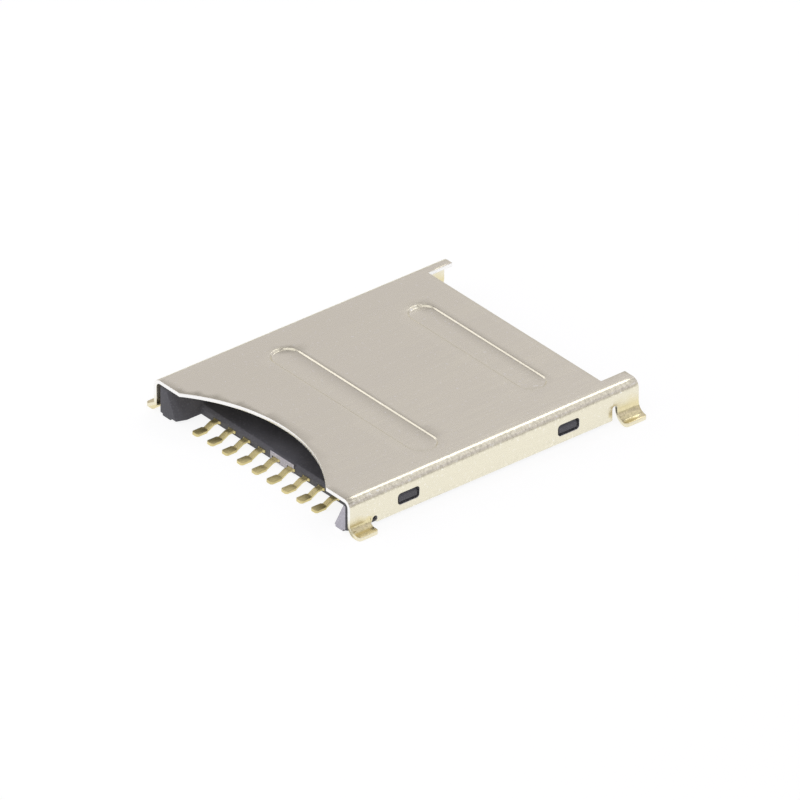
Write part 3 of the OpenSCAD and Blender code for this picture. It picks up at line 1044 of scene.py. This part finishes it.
    def build(self, sheet_finish: bpy.types.Material, edge_finish: bpy.types.Material) -> bpy.types.Object:
        """Makes the cover.

        Args:
            sheet_finish: Material of the plated faces.
            edge_finish: Material of the sheared edges.

        Returns:
            The finished piece.
        """
        piece = self.blank()
        values: dict[str, Value] = {
            "Flat half": self.flat_half * MM, "Fold radius": self.fold_radius * MM,
            "Top level": (self.height - self.sheet / 2) * MM,
            "Bead depth": self.bead_depth * MM, "Bead slope": self.bead_slope * MM,
            "Sheet finish": sheet_finish, "Edge finish": edge_finish,
        }
        for which, bead in (("Front", self.front_bead), ("Rear", self.rear_bead)):
            values[f"{which} length"] = bead.length * MM
            values[f"{which} width"] = bead.width * MM
            values[f"{which} place"] = (self.mouth + bead.place) * MM
            values[f"{which} middle"] = bead.middle * MM
        run_tree(piece, self.fold_tree(), values)
        soften(piece, self.edge_round)
        finish_piece(piece, ["cover"])
        return piece


@dataclass
class Base:
    """Moulded base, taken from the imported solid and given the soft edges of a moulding."""

    edge_round: float = 0.03
    weld: float = 0.001
    flat_angle: float = 0.5
    # The next four sizes pick the front faces that get painted light.
    facing: float = 0.9
    end_reach: float = 0.6
    block_face: float = -7.3
    block_half: float = 2.0

    def is_painted_front_lit(self, face: bmesh.types.BMFace, front: float) -> bool:
        """Tells the front faces that get painted light: the right guide's end and the middle block.

        Args:
            face: A face of the base.
            front: Y of the base's front.

        Returns:
            True if the face gets painted front light.
        """
        if face.normal.y > -self.facing:
            return False
        centre = face.calc_center_median() / MM
        on_guide = centre.y < front + self.end_reach and centre.x > 0
        on_block = centre.y < self.block_face and abs(centre.x) < self.block_half
        return on_guide or on_block

    def build(self, finish: bpy.types.Material) -> bpy.types.Object:
        """Makes the base.

        Args:
            finish: Material of the moulding.

        Returns:
            The finished piece.
        """
        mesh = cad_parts["base"].data.copy()
        mesh.name = "moulded_base"
        work = bmesh.new()
        work.from_mesh(mesh)
        bmesh.ops.remove_doubles(work, verts=work.verts, dist=self.weld * MM)
        bmesh.ops.dissolve_limit(work, angle_limit=math.radians(self.flat_angle),
                                 verts=work.verts, edges=work.edges)
        bmesh.ops.triangulate(work, faces=[face for face in work.faces if len(face.verts) > 4])
        work.normal_update()
        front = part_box("base")[0].y / MM
        # Marks the front faces whose colour is painted paler, as light from the front.
        painted_front_light = [self.is_painted_front_lit(face, front) for face in work.faces]
        for face in work.faces:
            face.smooth = True
        work.to_mesh(mesh)
        work.free()
        layer = mesh.attributes.new("painted_front_light", "FLOAT", "FACE")
        layer.data.foreach_set("value", [float(flag) for flag in painted_front_light])
        mesh.materials.clear()
        mesh.materials.append(finish)
        piece = bpy.data.objects.new("moulded_base", mesh)
        bpy.context.scene.collection.objects.link(piece)
        soften(piece, self.edge_round)
        finish_piece(piece, ["base"])
        return piece


@dataclass(frozen=True)
class Station:
    """Width and sideways place of a strip at one distance from the mouth."""

    along: float
    width: float
    shift: float = 0.0


@dataclass
class Strip:
    """Form of one stamped strip: a bent middle line and a width that changes along it."""

    path: list[Point]
    radii: list[float]
    plan: list[Station]
    thickness: float = 0.15
    steps: int = 8
    edge_round: float = 0.02

    def middle_line(self) -> list[tuple[float, float, float]]:
        """Middle line of the strip.

        Returns:
            Distance from the mouth, height and heading of each point.
        """
        line = []
        for index, (y, z) in enumerate(self.path):
            before = self.path[max(index - 1, 0)]
            after = self.path[min(index + 1, len(self.path) - 1)]
            enter = math.atan2(z - before[1], y - before[0]) if index else None
            leave = math.atan2(after[1] - z, after[0] - y) if index < len(self.path) - 1 else None
            if enter is None or leave is None:
                line.append((y, z, enter if leave is None else leave))
                continue
            radius = self.radii[index - 1]
            turn = leave - enter
            side = 1 if turn > 0 else -1
            back = radius * math.tan(abs(turn) / 2)
            start = (y - back * math.cos(enter), z - back * math.sin(enter))
            centre = (start[0] - side * radius * math.sin(enter),
                      start[1] + side * radius * math.cos(enter))
            for step in range(self.steps + 1):
                heading = enter + turn * step / self.steps
                line.append((centre[0] + side * radius * math.sin(heading),
                             centre[1] - side * radius * math.cos(heading), heading))
        return line

    def sections(self) -> list[tuple[float, float, float, float, float]]:
        """Cuts the strip into sections.

        Returns:
            Place, height, heading, half width and sideways shift of each section.
        """
        line = self.middle_line()
        y, z, heading = (np.array(column) for column in zip(*line))
        stops = [station.along for station in self.plan if y[0] < station.along < y[-1]]
        places = sorted({*y.tolist(), *stops})
        plan_y = [station.along for station in self.plan]
        return [(place, float(np.interp(place, y, z)), float(np.interp(place, y, heading)),
                 float(np.interp(place, plan_y, [s.width for s in self.plan])) / 2,
                 float(np.interp(place, plan_y, [s.shift for s in self.plan]))) for place in places]

    def build(self, name: str, x: float, mouth: float, finish: bpy.types.Material) -> bpy.types.Object:
        """Makes one strip.

        Args:
            name: Name of the piece.
            x: X of the strip's tail.
            mouth: Y of the mouth.
            finish: Material of the strip.

        Returns:
            The strip as a closed mesh.
        """
        points, faces = [], []
        half = self.thickness / 2
        for y, z, heading, wide, shift in self.sections():
            up = (-math.sin(heading) * half, math.cos(heading) * half)
            for side, sign in ((-1, -1), (1, -1), (1, 1), (-1, 1)):
                points.append((x + shift + side * wide, mouth + y + sign * up[0], z + sign * up[1]))
        for ring in range(len(points) // 4 - 1):
            first = 4 * ring
            faces += [(first + k, first + (k + 1) % 4, first + 4 + (k + 1) % 4, first + 4 + k)
                      for k in range(4)]
        last = len(points) - 4
        faces += [(3, 2, 1, 0), (last, last + 1, last + 2, last + 3)]
        piece = make_piece(name, points, faces)
        piece.data.materials.append(finish)
        soften(piece, self.edge_round)
        return piece


@dataclass(frozen=True)
class StripSizes:
    """Sizes that the signal contacts and the detect blade share."""

    tail: float = 0.05
    sole: float = 0.7
    rise: float = 0.38
    floor: float = 1.42
    block: float = 0.03
    sole_width: float = 0.45
    neck_width: float = 0.3
    lead_width: float = 0.5
    spring_width: float = 0.42
    tip_width: float = 0.3
    form: float = 0.2
    lead_level: float = 0.275
    sole_level: float = 0.075
    sole_cut: float = 0.09

    def tail_path(self) -> list[Point]:
        """Path of the sole and the rise behind it."""
        return [(self.tail, self.sole_level), (self.tail + self.sole, self.sole_level),
                (self.tail + self.sole + self.rise, self.lead_level)]

    def tail_plan(self) -> list[Station]:
        """Widths of the sole, the neck and the start of the lead."""
        end = self.tail + self.sole
        return [Station(self.tail, self.sole_width - 2 * self.sole_cut),
                Station(self.tail + self.sole_cut, self.sole_width),
                Station(end - self.sole_cut, self.sole_width), Station(end, self.neck_width),
                Station(self.floor - self.block, self.neck_width),
                Station(self.floor, self.lead_width)]


@dataclass
class ContactRow:
    """Row of eight signal contacts, one strip repeated at the pitch of the card's pads."""

    sizes: StripSizes = StripSizes()
    nodes: tuple[str, ...] = tuple(f"contact_{number}" for number in range(1, 9))
    root: float = 7.6
    crest: Point = (12.6, 0.98)
    crest_radius: float = 0.6
    tip: Point = (0.75, 0.42)

    def strip(self) -> Strip:
        """Form of one contact.

        Returns:
            The strip.
        """
        s = self.sizes
        end = self.crest[0] + self.tip[0]
        path = [*s.tail_path(), (self.root, s.lead_level), self.crest,
                (end, self.crest[1] - self.tip[1])]
        plan = [*s.tail_plan(), Station(self.root - s.form, s.lead_width),
                Station(self.root - s.form + s.lead_width / 2, s.spring_width),
                Station(end, s.tip_width)]
        return Strip(path, [s.form, s.form, s.form, self.crest_radius], plan)

    @staticmethod
    def row_tree() -> bpy.types.NodeTree:
        """Builds the geometry tree that repeats one strip along the row.

        Returns:
            The tree.
        """
        desk, given, out = new_tree(
            "row of contacts", "GeometryNodeTree",
            [("Contact", "NodeSocketGeometry", None), ("Count", "NodeSocketInt", 8),
             ("Pitch", "NodeSocketFloat", 1.1 * MM), ("Finish", "NodeSocketMaterial", None)],
            [("Row", "NodeSocketGeometry")])
        step = desk.node("ShaderNodeCombineXYZ", {0: given.outputs["Pitch"]})
        line = desk.node("GeometryNodeMeshLine", {
            "Count": given.outputs["Count"], "Offset": step.outputs[0]}, mode="OFFSET")
        row = desk.node("GeometryNodeInstanceOnPoints", {
            "Points": line.outputs[0], "Instance": given.outputs["Contact"]})
        real = desk.node("GeometryNodeRealizeInstances", {0: row.outputs[0]})
        dressed = desk.node("GeometryNodeSetMaterial", {
            "Geometry": real.outputs[0], "Material": given.outputs["Finish"]})
        desk.feed(out.inputs[0], dressed.outputs[0])
        return desk.tree

    def build(self, mouth: float, finish: bpy.types.Material) -> bpy.types.Object:
        """Makes the row.

        Args:
            mouth: Y of the mouth.
            finish: Material of the contacts.

        Returns:
            The finished piece.
        """
        middles = [sum(corner.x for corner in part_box(node)) / 2 / MM for node in self.nodes]
        pitch = (middles[-1] - middles[0]) / (len(middles) - 1)
        piece = self.strip().build("contact_row", middles[0], mouth, finish)
        run_tree(piece, self.row_tree(),
                 {"Count": len(middles), "Pitch": pitch * MM, "Finish": finish})
        finish_piece(piece, self.nodes)
        return piece


@dataclass
class DetectBlade:
    """Card-detect blade, the ninth strip, which steps sideways and rises to the cover."""

    sizes: StripSizes = StripSizes()
    node: str = "detect_contact"
    root: float = 6.9
    top: Point = (9.5, 1.6)
    top_radius: float = 0.35
    tip: Point = (0.65, 0.5)
    step: Point = (5.4, 6.1)
    shift: float = 0.55

    def strip(self) -> Strip:
        """Form of the blade.

        Returns:
            The strip.
        """
        s = self.sizes
        end = self.top[0] + self.tip[0]
        neck = self.root - s.form
        path = [*s.tail_path(), (self.root, s.lead_level), self.top, (end, self.top[1] - self.tip[1])]
        plan = [*s.tail_plan(), Station(self.step[0], s.lead_width),
                Station(self.step[1], s.lead_width, self.shift),
                Station(neck - s.spring_width / 2, s.lead_width, self.shift),
                Station(neck, s.spring_width, self.shift), Station(end, s.tip_width, self.shift)]
        return Strip(path, [s.form, s.form, s.form, self.top_radius], plan)

    def build(self, mouth: float, finish: bpy.types.Material) -> bpy.types.Object:
        """Makes the blade.

        Args:
            mouth: Y of the mouth.
            finish: Material of the blade.

        Returns:
            The finished piece.
        """
        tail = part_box(self.node)[0].x / MM + self.sizes.lead_width / 2
        piece = self.strip().build("detect_blade", tail, mouth, finish)
        finish_piece(piece, [self.node])
        return piece


@dataclass(frozen=True)
class SoftBox:
    """One soft lamp that faces the socket."""

    name: str
    direction: tuple[float, float, float]
    distance: float
    size: Point
    radiance: float

    def build(self) -> None:
        """Makes the lamp."""
        lamp = bpy.data.lights.new(self.name, "AREA")
        lamp.shape = "RECTANGLE"
        lamp.size, lamp.size_y = (part * MM for part in self.size)
        lamp.energy = self.radiance * math.pi * lamp.size * lamp.size_y
        piece = bpy.data.objects.new(self.name, lamp)
        towards = Vector(self.direction).normalized()
        piece.location = towards * self.distance * MM
        piece.rotation_euler = towards.to_track_quat("Z", "Y").to_euler()
        bpy.context.scene.collection.objects.link(piece)


@dataclass
class Studio:
    """Pale floor, soft lamps, and a camera at the photograph's angle."""

    azimuth: float = 50.74
    elevation: float = 31.25
    view_width: float = 37.37
    target: tuple[float, float, float] = (0.217, 0.046, 0.745)
    lens: float = 1000.0
    sensor: float = 36.0
    floor_half: float = 500.0
    floor_drop: float = 0.002
    floor_glow: float = 0.86
    floor_shade: float = 0.2
    floor_colour: float = 0.9
    sky: Colour = (0.655, 0.635, 0.70)
    overhead: Colour = (0.36, 0.345, 0.37)
    horizon: Colour = (0.58, 0.56, 0.54)
    horizon_band: Point = (0.05, 0.42)
    overhead_band: Point = (0.61, 0.70)
    lamps: tuple[SoftBox, ...] = (
        SoftBox("back_lamp", (-0.26, 0.54, 0.80), 120.0, (40.0, 40.0), 2.0),
        SoftBox("side_lamp", (0.29, 0.54, 0.79), 130.0, (95.0, 70.0), 0.42),
        SoftBox("top_lamp", (0.12, -0.38, 0.915), 130.0, (140.0, 120.0), 0.55),
        SoftBox("front_lamp", (-0.35, -0.85, 0.4), 130.0, (90.0, 60.0), 0.7),
        SoftBox("left_lamp", (-0.683, -0.469, 0.559), 120.0, (80.0, 36.0), 0.65),
    )

    @staticmethod
    def view_ray(desk: Desk) -> bpy.types.NodeSocket:
        """Adds the nodes that tell a ray of the camera, or one mirrored or passed through to it.

        Args:
            desk: Desk of the tree.

        Returns:
            1 for such a ray, 0 for the rest.
        """
        path = desk.node("ShaderNodeLightPath")
        mirrored = desk.math("MAXIMUM", path.outputs["Is Glossy Ray"], path.outputs["Is Transmission Ray"])
        return desk.math("MAXIMUM", path.outputs["Is Camera Ray"], mirrored)

    def floor_material(self) -> bpy.types.Material:
        """Builds the floor's material: white to the camera, with the socket's soft shadow.

        Returns:
            The material.
        """
        material = bpy.data.materials.new("studio_floor")
        material.use_nodes = True
        material.node_tree.nodes.clear()
        desk = Desk(material.node_tree)
        lit, faint = (desk.node("ShaderNodeBsdfDiffuse", {"Color": rgba((level,) * 3)})
                      for level in (self.floor_colour, self.floor_shade))
        glow = desk.node("ShaderNodeEmission", {"Strength": self.floor_glow})
        shown = desk.node("ShaderNodeAddShader", {0: faint.outputs[0], 1: glow.outputs[0]})
        mixed = desk.node("ShaderNodeMixShader", {
            0: self.view_ray(desk), 1: lit.outputs[0], 2: shown.outputs[0]})
        clear = desk.node("ShaderNodeBsdfTransparent")
        back = desk.node("ShaderNodeNewGeometry").outputs["Backfacing"]
        both = desk.node("ShaderNodeMixShader", {0: back, 1: mixed.outputs[0], 2: clear.outputs[0]})
        desk.node("ShaderNodeOutputMaterial", {0: both.outputs[0]})
        return material

    def make_floor(self) -> None:
        """Lays the floor just under the socket."""
        half, level = self.floor_half, -self.floor_drop
        corners = [(-half, -half, level), (half, -half, level), (half, half, level), (-half, half, level)]
        floor = make_piece("studio_floor", corners, [(0, 1, 2, 3)])
        floor.data.materials.append(self.floor_material())

    def make_sky(self) -> None:
        """Lights the world: white to the camera, and a soft grey that deepens at the horizon."""
        world = bpy.data.worlds.new("studio_sky")
        world.use_nodes = True
        bpy.context.scene.world = world
        desk = Desk(world.node_tree)
        direction = desk.node("ShaderNodeTexCoord").outputs["Generated"]
        height = desk.node("ShaderNodeSeparateXYZ", {0: direction}).outputs[2]
        rise = desk.span(height, self.horizon_band, (0.0, 1.0), smooth=True)
        lower = desk.mix(rise, rgba(self.horizon), rgba(self.sky))
        high = desk.span(height, self.overhead_band, (0.0, 1.0), smooth=True)
        whole = desk.mix(high, lower, rgba(self.overhead))
        camera = desk.node("ShaderNodeLightPath").outputs["Is Camera Ray"]
        desk.feed(world.node_tree.nodes["Background"].inputs["Color"],
                  desk.mix(camera, whole, WHITE))

    def make_camera(self) -> None:
        """Sets the camera where the photograph was taken from."""
        turn, rise = math.radians(self.azimuth), math.radians(self.elevation)
        back = Vector((math.sin(turn) * math.cos(rise), -math.cos(turn) * math.cos(rise), math.sin(rise)))
        lens = bpy.data.cameras.new("view_camera")
        lens.lens, lens.sensor_width = self.lens, self.sensor
        away = self.view_width * self.lens / self.sensor * MM
        lens.clip_start, lens.clip_end = away / 10, away * 10
        camera = bpy.data.objects.new("view_camera", lens)
        camera.location = Vector(self.target) * MM + back * away
        camera.rotation_euler = back.to_track_quat("Z", "Y").to_euler()
        bpy.context.scene.collection.objects.link(camera)
        bpy.context.scene.camera = camera

    def build(self) -> None:
        """Makes the whole studio."""
        self.make_camera()
        self.make_floor()
        self.make_sky()
        for lamp in self.lamps:
            lamp.build()
        bpy.context.scene.view_settings.view_transform = "Standard"
        log.info("studio: %d lamps", len(self.lamps))


def main() -> None:
    """Builds the studio and the socket's pieces in order."""
    logging.basicConfig(level=logging.INFO, format="%(name)s: %(message)s")
    Studio().build()
    effects = Effects()
    gold = GoldStrip().material(effects)
    cover = Cover()
    cover.build(PlatedSheet().material(effects), ShearedEdge().material(effects))
    Base().build(MouldedResin().material(effects))
    ContactRow().build(cover.mouth, gold)
    DetectBlade().build(cover.mouth, gold)


if __name__ == "__main__":
    main()
